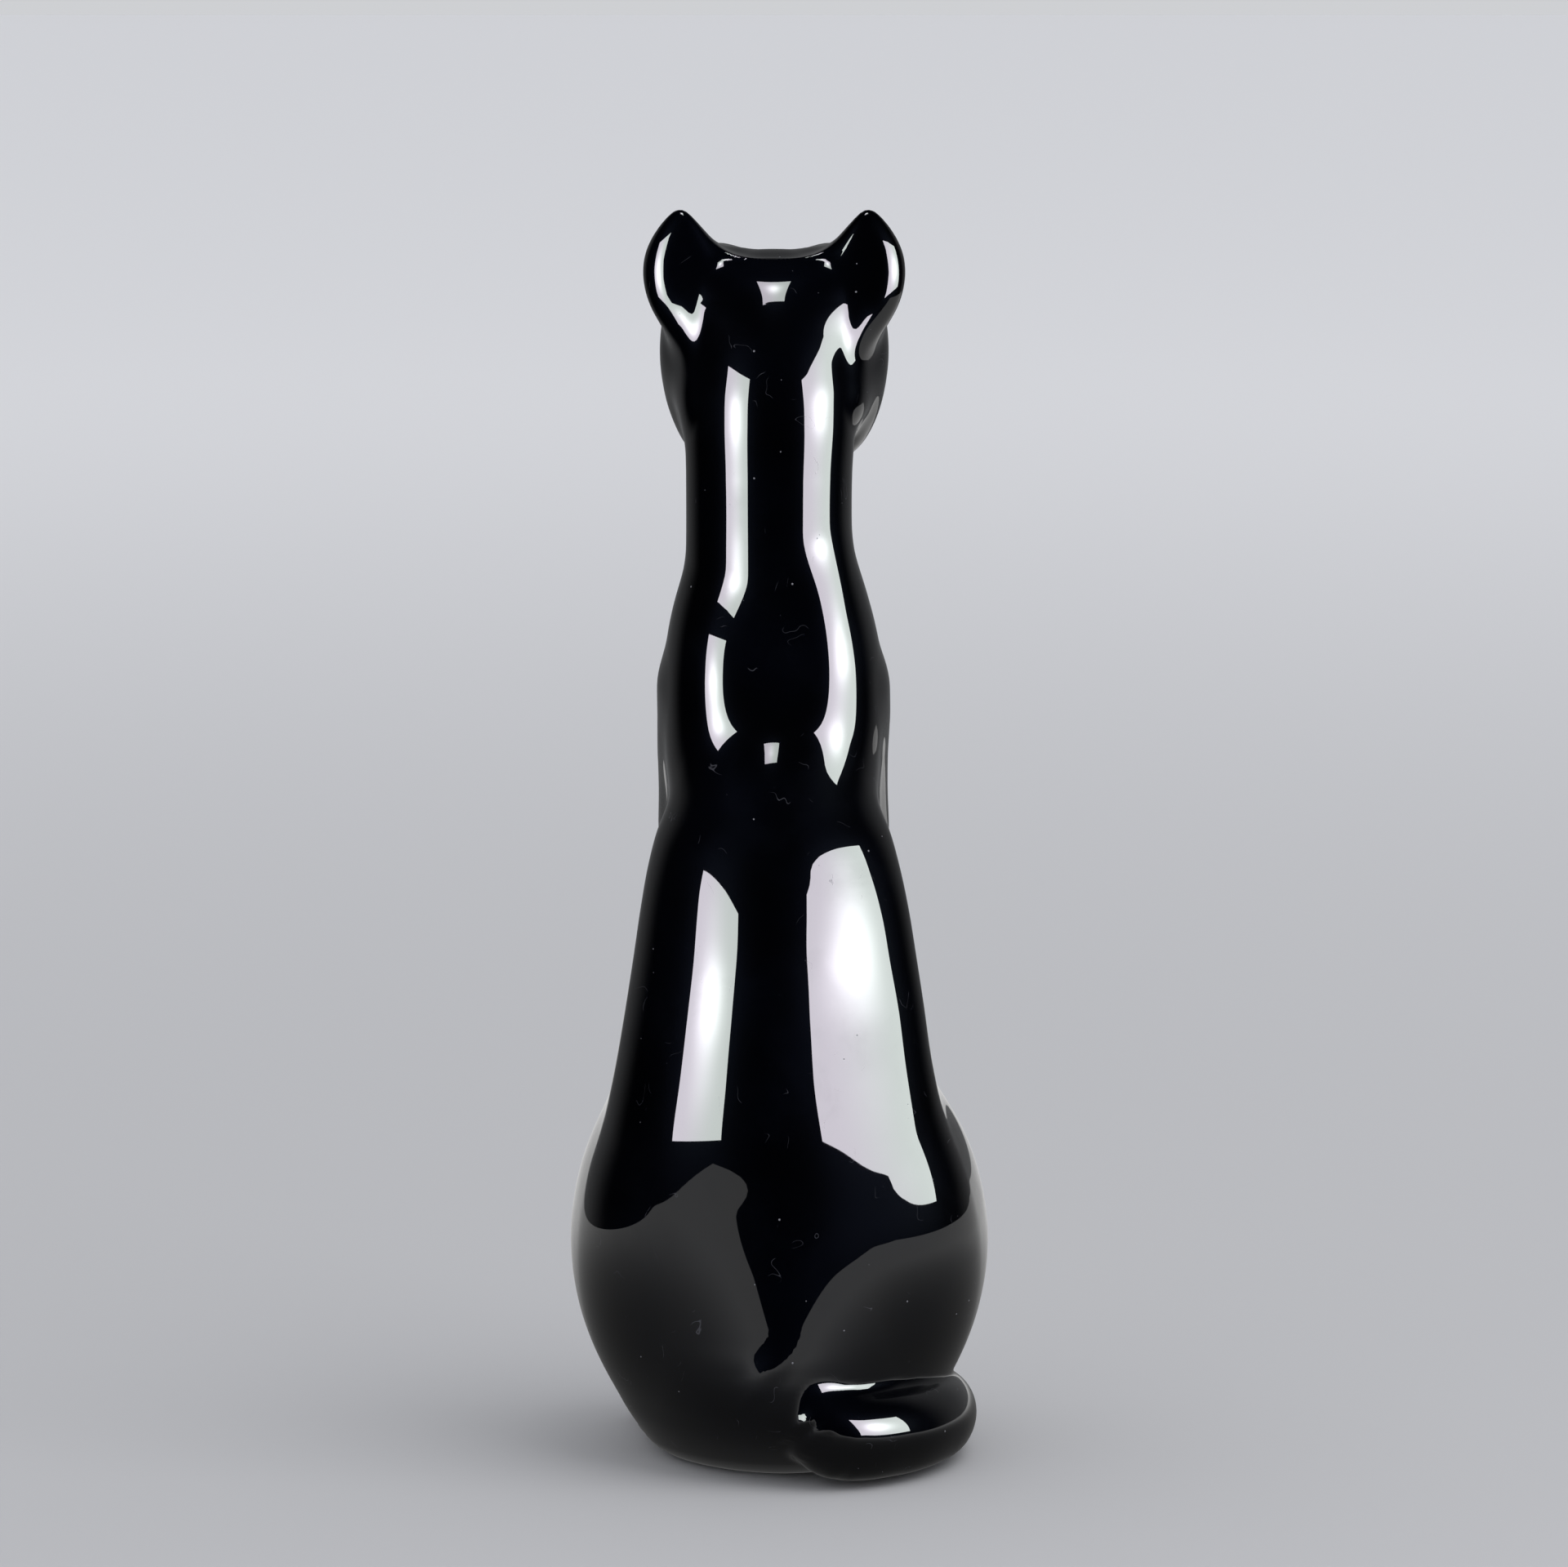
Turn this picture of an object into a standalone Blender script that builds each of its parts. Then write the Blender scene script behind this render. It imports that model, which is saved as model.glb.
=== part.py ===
"""Tall seated cat figurine in solid black crystal, about 160 mm to the ear tips.

The cat faces -Y and its tail curls round its right haunch, on the -X side. Metres, +Z up, with
the ground base on z = 0 and the footprint centred on the Z axis. The body is one gather of glass;
ears, forelegs and tail are bits laid on it, each seated in a hollow one bond gap larger.
"""

import bmesh
import bpy
import numpy as np

# Overall sizes and the joint between body and bits
figure_height = 0.1601
haunch_width = 0.0532
bond_gap = 0.0003

# Trunk, from the ground base up to the neck
base_width = 0.0350
base_back = 0.0186
base_front = -0.0170
rump_height = 0.0112
rump_width = 0.0426
rump_back = 0.0228
belly_front = -0.0180
haunch_height = 0.0280
haunch_back = 0.0258
flank_height = 0.0420
flank_width = 0.0412
flank_back = 0.0252
flank_front = -0.0140
waist_height = 0.0548
waist_width = 0.0392
waist_back = 0.0228
chest_front = -0.0130
loin_height = 0.0728
loin_width = 0.0336
loin_back = 0.0182
saddle_height = 0.0880
saddle_width = 0.0252
saddle_back = 0.0112
withers_height = 0.1010
withers_width = 0.0236
withers_back = 0.0085
neck_base_height = 0.1150
neck_height = 0.1250
neck_width = 0.0212
neck_back = 0.0070
neck_front = -0.0112
neck_lean = 0.0013  # the neck stands this far to the cat's left
widest_share = 0.42  # how far from front to back the widest line lies

# Head
head_width = 0.0306
skull_height = 0.0200
skull_depth = 0.0250
head_y = -0.0040
head_x = 0.0006
cheek_radii = (0.0072, 0.0082, 0.0090)
cheek_spacing = 0.0146
cheek_drop = 0.0030
muzzle_radii = (0.0062, 0.0056, 0.0048)
muzzle_reach = 0.0094
muzzle_drop = 0.0040

# Ears
ear_rise = 0.0056  # above the crown
ear_spacing = 0.0250  # between the tips
ear_splay = 0.0018
ear_root_radius = 0.0054
ear_tip_radius = 0.0011
ear_root_depth = 0.0038  # below the crown
ear_thickness = 0.72  # front to back, as a share of its width
ear_set_back = 0.0030

# Thighs and hind paws
thigh_radii = (0.0132, 0.0190, 0.0220)
thigh_y = -0.0030
thigh_stand = 0.0024  # the thighs stand this far out from the trunk
hind_paw_x = 0.0160
hind_paw_front = -0.0235
hind_heel_radius = 0.0056
hind_toe_radius = 0.0048

# Shoulders and forelegs
shoulder_height = 0.0955
shoulder_spacing = 0.0150
shoulder_radii = (0.0067, 0.0088, 0.0165)
shoulder_y = -0.0040
leg_spacing = 0.0166
leg_top_radius = 0.0056
elbow_height = 0.0800
elbow_y = -0.0096
elbow_radius = 0.0061
shin_height = 0.0460
shin_y = -0.0160
shin_radius = 0.0058
ankle_height = 0.0120
ankle_y = -0.0205
ankle_radius = 0.0050
paw_radii = (0.0062, 0.0084, 0.0052)
paw_reach = 0.0050
paw_height = 0.0038

# Tail
tail_root_height = 0.0225
tail_root_radius = 0.0046
tail_root_sink = 0.0022  # the root's centre lies this far inside the back
tail_drop = 0.0070  # from the root to where it leaves the back
tail_radius = 0.0062
tail_flank_radius = 0.0053
tail_tip_radius = 0.0034
tail_flat = 0.0004  # how far the ground base cuts into the coil
tail_seat = 0.0045  # how far the coil sinks into the body
tail_turns = (24, 50, 74)  # degrees round the rump, counted from the back
tail_tip_run = 0.0152  # how far the tip reaches ahead of the widest line
tail_tip_inward = 0.0030

# Blends between masses, and how finely the skins are cast
soft_blend = 0.0060
firm_blend = 0.0030
body_sides = 48
limb_sides = 16
tail_samples = 26
ray_reach = 0.0450
ray_steps = 60
ray_halvings = 16
hollow_overrun = 0.0010  # a hollow is cast this far below the ground base

crystal_colour = (0.012, 0.013, 0.018)
crystal_roughness = 0.04

crown_height = figure_height - ear_rise
skull_middle = crown_height - skull_height / 2
head_middle = np.array([head_x, head_y, skull_middle])
both_sides = (("left", 1), ("right", -1))


def through(at, stations):
    """Rows read from a smooth curve through the stations, whose first column is the position."""
    stations = np.asarray(stations, float)
    along = stations[:, 0]
    slopes = np.gradient(stations, along, axis=0)
    at = np.clip(at, along[0], along[-1])
    i = np.clip(np.searchsorted(along, at) - 1, 0, len(along) - 2)
    step = (along[i + 1] - along[i])[..., None]
    t = (at - along[i])[..., None] / step
    rise = 3 * t**2 - 2 * t**3
    start = slopes[i] * step * t * (1 - t) ** 2
    end = slopes[i + 1] * step * t**2 * (t - 1)
    return stations[i] * (1 - rise) + stations[i + 1] * rise + start + end


def union(first, second, blend):
    """Smooth union of two distance fields, rounded over the blend width."""
    share = np.clip(0.5 + 0.5 * (second - first) / blend, 0, 1)
    return second * (1 - share) + first * share - blend * share * (1 - share)


def ellipsoid(points, centre, radii):
    """Distance to an ellipsoid, true near its surface."""
    scaled = (points - np.asarray(centre)) / np.asarray(radii)
    size = np.linalg.norm(scaled, axis=-1)
    slope = np.linalg.norm(scaled / np.asarray(radii), axis=-1)
    return size * (size - 1) / np.maximum(slope, 1e-6)


def cone_chain(points, joints, thickness=1.0):
    """Distance to round cones strung through joints of x, y, z and radius, thinned along y."""
    joints = np.asarray(joints, float)
    squash = np.array([1.0, thickness, 1.0])
    nearest = np.full(points.shape[:-1], np.inf)
    for start, end in zip(joints[:-1], joints[1:]):
        run = (end[:3] - start[:3]) / squash
        offset = (points - start[:3]) / squash
        share = np.clip(offset @ run / (run @ run), 0, 1)
        radius = start[3] + (end[3] - start[3]) * share
        gap = np.linalg.norm(offset - share[..., None] * run, axis=-1) - radius
        nearest = np.minimum(nearest, gap)
    return nearest


def trunk_stations():
    """Height, half width, back, front and sideways lean of the trunk at each level."""
    back_lean = neck_lean / 2
    return [
        (0.0, base_width / 2, base_back, base_front, 0.0),
        (rump_height, rump_width / 2, rump_back, belly_front, 0.0),
        (haunch_height, haunch_width / 2 - thigh_stand, haunch_back, belly_front, 0.0),
        (flank_height, flank_width / 2, flank_back, flank_front, back_lean / 2),
        (waist_height, waist_width / 2, waist_back, chest_front, back_lean),
        (loin_height, loin_width / 2, loin_back, chest_front, back_lean),
        (saddle_height, saddle_width / 2, saddle_back, chest_front, back_lean),
        (withers_height, withers_width / 2, withers_back, chest_front, back_lean),
        (neck_base_height, neck_width / 2, neck_back, neck_front, neck_lean),
        (neck_height, neck_width / 2, neck_back, neck_front, neck_lean),
        (skull_middle, neck_width / 2, neck_back, neck_front, head_x),
    ]


def trunk(points):
    """Distance to the trunk, whose sections are two half ellipses that meet at the widest line."""
    rows = through(points[..., 2], trunk_stations())
    half, back, front, lean = np.moveaxis(rows[..., 1:], -1, 0)
    widest = front + (back - front) * widest_share
    x = points[..., 0] - lean
    y = points[..., 1] - widest
    depth = np.where(y > 0, back - widest, widest - front)
    size = np.maximum(np.hypot(x / half, y / depth), 1e-6)
    distance = np.hypot(x, y) * (size - 1) / size
    return np.maximum(distance, points[..., 2] - skull_middle)


def hind_quarter(points, side):
    """Distance to one thigh and to the hind paw under it."""
    thigh_x = haunch_width / 2 - thigh_radii[0] - soft_blend / 8
    thigh = ellipsoid(points, (side * thigh_x, thigh_y, haunch_height), thigh_radii)
    toe_y = hind_paw_front + hind_toe_radius
    heel = (side * hind_paw_x, thigh_y, hind_heel_radius * 0.75, hind_heel_radius)
    toe = (side * hind_paw_x, toe_y, hind_toe_radius * 0.75, hind_toe_radius)
    return thigh, cone_chain(points, [heel, toe])


def head(points):
    """Distance to the skull with its cheeks and muzzle."""
    field = ellipsoid(points, head_middle, (head_width / 2, skull_depth / 2, skull_height / 2))
    for _, side in both_sides:
        cheek = head_middle + (side * cheek_spacing / 2, 0.0, -cheek_drop)
        field = union(field, ellipsoid(points, cheek, cheek_radii), firm_blend)
    muzzle = head_middle + (0.0, -muzzle_reach, -muzzle_drop)
    return union(field, ellipsoid(points, muzzle, muzzle_radii), firm_blend)


def body_field(points):
    """Trunk, hind quarters, shoulders and head, run together like one gather of glass."""
    field = trunk(points)
    for _, side in both_sides:
        thigh, hind_paw = hind_quarter(points, side)
        field = union(field, thigh, soft_blend)
        field = union(field, hind_paw, firm_blend)
        shoulder = (side * shoulder_spacing / 2 + neck_lean / 2, shoulder_y, shoulder_height)
        field = union(field, ellipsoid(points, shoulder, shoulder_radii), soft_blend)
    return union(field, head(points), firm_blend)


def foreleg_joints(side):
    """Centre and radius of one foreleg at its top, elbow, shin, ankle and heel."""
    x = side * leg_spacing / 2
    leaning_x = x + neck_lean / 2
    return [
        (leaning_x, shoulder_y, shoulder_height, leg_top_radius),
        (leaning_x, elbow_y, elbow_height, elbow_radius),
        (x, shin_y, shin_height, shin_radius),
        (x, ankle_y, ankle_height, ankle_radius),
        (x, ankle_y, paw_height, ankle_radius),
    ]


def foreleg_field(side):
    """Field of one foreleg with its paw."""
    joints = foreleg_joints(side)
    paw = (side * leg_spacing / 2, ankle_y - paw_reach, paw_height)

    def field(points):
        return union(cone_chain(points, joints), ellipsoid(points, paw, paw_radii), firm_blend)

    return field


def ear_joints(side):
    """Centre and radius of one ear at its root and at its tip."""
    tip_x = head_x + side * ear_spacing / 2
    y = head_y + ear_set_back
    return [
        (tip_x - side * ear_splay, y, crown_height - ear_root_depth, ear_root_radius),
        (tip_x, y, figure_height - ear_tip_radius, ear_tip_radius),
    ]


def ear_field(side):
    """Field of one ear."""
    return lambda points: cone_chain(points, ear_joints(side), ear_thickness)


def surface_along(field, starts, ways, level):
    """Farthest points along the rays where the field equals the level, by stepping then halving."""
    steps = np.linspace(0, ray_reach, ray_steps)
    near = np.zeros(starts.shape[:-1])
    for step in steps:
        near = np.where(field(starts + ways * step) < level, step, near)
    far = near + steps[1]
    for _ in range(ray_halvings):
        middle = (near + far) / 2
        inside = field(starts + ways * middle[..., None]) < level
        near = np.where(inside, middle, near)
        far = np.where(inside, far, middle)
    return starts + ways * near[..., None]


def cast_skin(name, field, axis, heights, sides, grow=0.0, fan_above=5, fan_below=0):
    """Closed mesh of the surface where the field equals grow.

    Level rings are cast outward from the axis at the heights, and tilted rings fan over its top,
    and under its foot too if fan_below is set; otherwise the foot is a flat face.
    """
    above = np.radians(np.linspace(0, 90, fan_above + 1))[1:-1]
    below = np.radians(np.linspace(-90, 0, fan_below + 1))[1:-1] if fan_below else np.array([])
    tilts = np.concatenate([below, np.zeros(len(heights)), above])[:, None]
    levels = np.concatenate([below * 0 + heights[0], heights, above * 0 + heights[-1]])
    turns = np.arange(sides) * 2 * np.pi / sides
    centres = through(levels, axis)[:, 1:]
    starts = np.column_stack([centres, levels])[:, None] + np.zeros((1, sides, 1))
    outward = np.cos(tilts)
    rise = np.sin(tilts) + turns * 0
    ways = np.stack([outward * np.cos(turns), outward * np.sin(turns), rise], -1)
    rings = surface_along(field, starts, ways, grow)
    top = surface_along(field, starts[-1, :1], np.array([[0.0, 0.0, 1.0]]), grow)
    foot = surface_along(field, starts[0, :1], np.array([[0.0, 0.0, -1.0]]), grow)

    mesh = bmesh.new()
    rows = [[mesh.verts.new(point) for point in ring] for ring in rings]
    for lower, upper in zip(rows[:-1], rows[1:]):
        for i in range(sides):
            mesh.faces.new((lower[i - 1], lower[i], upper[i], upper[i - 1]))
    summit = mesh.verts.new(top[0])
    for i in range(sides):
        mesh.faces.new((rows[-1][i - 1], rows[-1][i], summit))
    if fan_below:
        nadir = mesh.verts.new(foot[0])
        for i in range(sides):
            mesh.faces.new((rows[0][i], rows[0][i - 1], nadir))
    else:
        mesh.faces.new(rows[0][::-1])
    data = bpy.data.meshes.new(name)
    mesh.to_mesh(data)
    mesh.free()
    data.shade_smooth()
    return bpy.data.objects.new(name, data)


def body_skin(name):
    """The body, with close rings over the haunches and the head."""
    axis = [
        (0.0, 0.0, 0.0),
        (saddle_height, neck_lean / 2, (saddle_back + chest_front) / 2),
        (neck_height, neck_lean, (neck_back + neck_front) / 2),
        (skull_middle, head_x, head_y),
    ]
    heights = np.concatenate([
        np.linspace(0.0, haunch_height, 10),
        np.linspace(haunch_height, saddle_height, 12)[1:],
        np.linspace(saddle_height, skull_middle, 18)[1:],
    ])
    return cast_skin(name, body_field, axis, heights, body_sides, fan_above=9)


def foreleg_skin(name, side, grow=0.0):
    """One foreleg, flat under its paw; grown, it runs on below the ground base."""
    joints = np.array(foreleg_joints(side))[::-1]
    axis = joints[:, [2, 0, 1]]
    foot = -hollow_overrun if grow else 0.0
    heights = np.concatenate([
        np.linspace(foot, ankle_height, 8),
        np.linspace(ankle_height, shoulder_height, 15)[1:],
    ])
    return cast_skin(name, foreleg_field(side), axis, heights, limb_sides, grow)


def ear_skin(name, side, grow=0.0):
    """One ear, closed all round."""
    axis = np.array(ear_joints(side))[:, [2, 0, 1]]
    heights = np.linspace(axis[0, 0], axis[1, 0], 7)
    return cast_skin(name, ear_field(side), axis, heights, limb_sides, grow, fan_below=5)


def tail_route():
    """Centre and radius from the spine, down the rump and forward round the right haunch."""
    _, half, back, front, _ = through(np.array(tail_radius), trunk_stations())
    coil_side = half + tail_radius - tail_seat
    coil_back = back + tail_radius - tail_seat
    widest = front + (back - front) * widest_share
    root_y = haunch_back - tail_root_sink
    leaving_radius = (tail_root_radius + tail_radius) / 2
    route = [
        (neck_lean / 2, root_y, tail_root_height, tail_root_radius),
        (0.0, (root_y + coil_back) / 2, tail_root_height - tail_drop, leaving_radius),
        (-tail_radius / 2, coil_back, tail_radius * 1.5, tail_radius),
    ]
    for turn in np.radians(tail_turns):
        x = -coil_side * np.sin(turn)
        y = widest + (coil_back - widest) * np.cos(turn)
        route.append((x, y, tail_radius - tail_flat, tail_radius))
    for share in (0.0, 0.5, 1.0):
        radius = tail_flank_radius + (tail_tip_radius - tail_flank_radius) * share
        x = -coil_side + tail_tip_inward * share**2
        route.append((x, widest - tail_tip_run * share, radius - tail_flat, radius))
    return np.array(route)


def tube_stations(route, nose=5):
    """Stations along a smooth curve through the route, closing to a round nose at both ends."""
    runs = np.linalg.norm(np.diff(route[:, :3], axis=0), axis=1)
    along = np.concatenate([[0.0], np.cumsum(runs)])
    length = along[-1]
    curl = np.sin(np.linspace(0, 0.47 * np.pi, nose))  # just short of a point
    first = route[0, 3] * (1 - curl[::-1])
    last = length - route[-1, 3] * (1 - curl)
    at = np.concatenate([first, np.linspace(first[-1], last[0], tail_samples)[1:-1], last])
    stations = through(at, np.column_stack([along, route]))[:, 1:]
    from_end = np.minimum(at / route[0, 3], (length - at) / route[-1, 3])
    stations[:, 3] *= np.sqrt(1 - (1 - np.clip(from_end, 0, 1)) ** 2)
    return stations


def tail_tube(name, grow=0.0):
    """The tail as a bevelled curve along its route, made a mesh with its caps welded."""
    stations = tube_stations(tail_route())
    ends = stations[[0, -1], :3] - stations[[1, -2], :3]
    stations[[0, -1], :3] += grow * ends / np.linalg.norm(ends, axis=1, keepdims=True)
    curve = bpy.data.curves.new(name + "_route", "CURVE")
    curve.dimensions = "3D"
    curve.bevel_depth = tail_radius
    curve.bevel_resolution = 4
    curve.use_fill_caps = True
    spline = curve.splines.new("POLY")
    spline.points.add(len(stations) - 1)
    for point, (x, y, z, radius) in zip(spline.points, stations):
        point.co = (x, y, z, 1.0)
        point.radius = (radius + grow) / tail_radius
    guide = bpy.data.objects.new(name + "_route", curve)
    bpy.context.scene.collection.objects.link(guide)
    bpy.context.view_layer.update()
    graph = bpy.context.evaluated_depsgraph_get()
    data = bpy.data.meshes.new_from_object(guide.evaluated_get(graph))
    bpy.data.objects.remove(guide)
    mesh = bmesh.new()
    mesh.from_mesh(data)
    bmesh.ops.remove_doubles(mesh, verts=mesh.verts, dist=1e-6)
    mesh.to_mesh(data)
    mesh.free()
    data.shade_smooth()
    return bpy.data.objects.new(name, data)


def grind_flat(bit):
    """Cuts a bit off level with the ground base and closes the cut."""
    mesh = bmesh.new()
    mesh.from_mesh(bit.data)
    everything = mesh.verts[:] + mesh.edges[:] + mesh.faces[:]
    bmesh.ops.bisect_plane(
        mesh, geom=everything, plane_co=(0, 0, 0), plane_no=(0, 0, 1), clear_inner=True
    )
    rim = [edge for edge in mesh.edges if edge.is_boundary]
    bmesh.ops.holes_fill(mesh, edges=rim)
    mesh.to_mesh(bit.data)
    mesh.free()


def seat(body, hollow):
    """Hollows the body for a bit; the hollow is the bit grown by the bond gap."""
    hollow.hide_render = True
    hollow.display_type = "WIRE"
    cut = body.modifiers.new(hollow.name, "BOOLEAN")
    cut.operation = "DIFFERENCE"
    cut.solver = "EXACT"
    cut.object = hollow


def crystal(name):
    """Polished black crystal for one node."""
    material = bpy.data.materials.new(name)
    material.use_nodes = True
    shader = material.node_tree.nodes["Principled BSDF"]
    shader.inputs["Base Color"].default_value = (*crystal_colour, 1.0)
    shader.inputs["Roughness"].default_value = crystal_roughness
    shader.inputs["Metallic"].default_value = 0.0
    material.diffuse_color = (*crystal_colour, 1.0)
    return material


def centre_footprint(origin, nodes):
    """Moves the shared empty so that the middle of the figurine's box stands on the Z axis."""
    bpy.context.view_layer.update()
    graph = bpy.context.evaluated_depsgraph_get()
    corners = np.array([c for node in nodes for c in node.evaluated_get(graph).bound_box])
    middle = (corners.min(axis=0) + corners.max(axis=0)) / 2
    origin.location = (-middle[0], -middle[1], 0.0)


def build():
    for old in list(bpy.data.objects):
        bpy.data.objects.remove(old)
    parts = bpy.data.collections.new("cat_figurine")
    cutters = bpy.data.collections.new("cutters")
    bpy.context.scene.collection.children.link(parts)
    bpy.context.scene.collection.children.link(cutters)

    body = body_skin("body")
    nodes = [body]
    for word, side in both_sides:
        nodes.append(foreleg_skin(f"{word}_foreleg", side))
        seat(body, foreleg_skin(f"{word}_foreleg_hollow", side, bond_gap))
        nodes.append(ear_skin(f"{word}_ear", side))
        seat(body, ear_skin(f"{word}_ear_hollow", side, bond_gap))
    tail = tail_tube("tail")
    grind_flat(tail)
    nodes.append(tail)
    seat(body, tail_tube("tail_hollow", bond_gap))

    origin = bpy.data.objects.new("footprint_centre", None)
    parts.objects.link(origin)
    for node in nodes:
        node.data.materials.clear()
        node.data.materials.append(crystal(f"black_crystal_{node.name}"))
        node.parent = origin
        parts.objects.link(node)
    for cut in body.modifiers:
        cut.object.parent = origin
        cutters.objects.link(cut.object)
    centre_footprint(origin, nodes)


build()
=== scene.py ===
# Black crystal cat figurine: one polished skin over the fused pieces, on a pale table
import math

import bpy
import numpy as np
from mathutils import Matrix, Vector


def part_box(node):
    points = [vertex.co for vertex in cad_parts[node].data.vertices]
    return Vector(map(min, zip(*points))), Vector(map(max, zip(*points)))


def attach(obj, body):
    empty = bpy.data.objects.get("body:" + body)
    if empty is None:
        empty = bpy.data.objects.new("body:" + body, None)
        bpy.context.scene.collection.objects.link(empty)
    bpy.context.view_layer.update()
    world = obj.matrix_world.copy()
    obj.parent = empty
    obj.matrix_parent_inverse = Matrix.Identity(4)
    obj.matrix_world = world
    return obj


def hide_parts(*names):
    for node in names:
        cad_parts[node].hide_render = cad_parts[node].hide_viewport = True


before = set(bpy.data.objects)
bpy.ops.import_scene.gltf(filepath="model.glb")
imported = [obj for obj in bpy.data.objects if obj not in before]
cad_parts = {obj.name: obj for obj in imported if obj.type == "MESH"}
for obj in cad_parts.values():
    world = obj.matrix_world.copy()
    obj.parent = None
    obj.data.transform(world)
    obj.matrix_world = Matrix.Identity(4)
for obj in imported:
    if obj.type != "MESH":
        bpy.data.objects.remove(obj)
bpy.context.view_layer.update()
print("frame loaded")

millimetre = 0.001
tiny = {"offset": 1e-9, "slope": 1e-6, "size": 1e-4}  # floors that keep powers and divisions finite


# Fields of distance, in millimetres: less than nothing inside, and near the true distance outside.
# p holds points as rows of x, y and z.
def throughStations(at, stations):
    # cubic Hermite through the rows, slopes from the neighbours; the first column is the position
    stations = np.asarray(stations, float)
    along = stations[:, 0]
    slopes = np.gradient(stations, along, axis=0)
    at = np.clip(at, along[0], along[-1])
    i = np.clip(np.searchsorted(along, at) - 1, 0, len(along) - 2)
    step = (along[i + 1] - along[i])[..., None]
    t = (at - along[i])[..., None] / step
    rise = 3 * t**2 - 2 * t**3
    start = slopes[i] * step * t * (1 - t) ** 2
    end = slopes[i + 1] * step * t**2 * (t - 1)
    return stations[i] * (1 - rise) + stations[i + 1] * rise + start + end


def smooth(share):
    # 0 to 1 along three squares less two cubes
    share = np.clip(share, 0, 1)
    return share * share * (3 - 2 * share)


def melt(first, second, width):
    # the lesser of two fields, with a quadratic fillet where they are within the width of each other
    share = np.clip(0.5 + 0.5 * (second - first) / width, 0, 1)
    return second * (1 - share) + first * share - width * share * (1 - share)


def carve(field, tool, width):
    # the field with the tool taken away, filleted in the same way
    return -melt(-field, tool, width)


def common(field, other, width):
    # what lies inside both fields, filleted in the same way
    return -melt(-field, -other, width)


def blob(p, centre, radii, power=2.0):
    # superellipsoid: the power mean of the scaled offsets less one, over the length of its slope
    radii = np.asarray(radii)
    q = np.abs((p - np.asarray(centre)) / radii) + tiny["offset"]
    size = np.sqrt(np.sum(q * q, axis=1)) if power == 2.0 else np.sum(q**power, axis=1) ** (1 / power)
    slope = np.linalg.norm(q ** (power - 1) / radii, axis=1) / size ** (power - 1)
    return (size - 1) / np.maximum(slope, tiny["slope"])


def cones(p, joints):
    # round cones strung through joints of x, y, z and radius: distance to each run less its radius
    joints = np.asarray(joints, float)
    nearest = np.full(len(p), np.inf)
    for start, end in zip(joints[:-1], joints[1:]):
        run = end[:3] - start[:3]
        offset = p - start[:3]
        share = np.clip(offset @ run / (run @ run), 0, 1)
        gap = np.linalg.norm(offset - share[:, None] * run, axis=1)
        nearest = np.minimum(nearest, gap - start[3] - (end[3] - start[3]) * share)
    return nearest


def mirrored(rows, side):
    # the cat's left is +X; the other side is the same rows with x turned over
    rows = np.array(rows, float)
    rows[..., 0] *= side
    return rows


def within(field, p, heights, join):
    # the join is worked out only for the points between two heights
    near = (p[:, 2] > heights[0]) & (p[:, 2] < heights[1])
    if near.any():
        field[near] = join(field[near], p[near])
    return field


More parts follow.
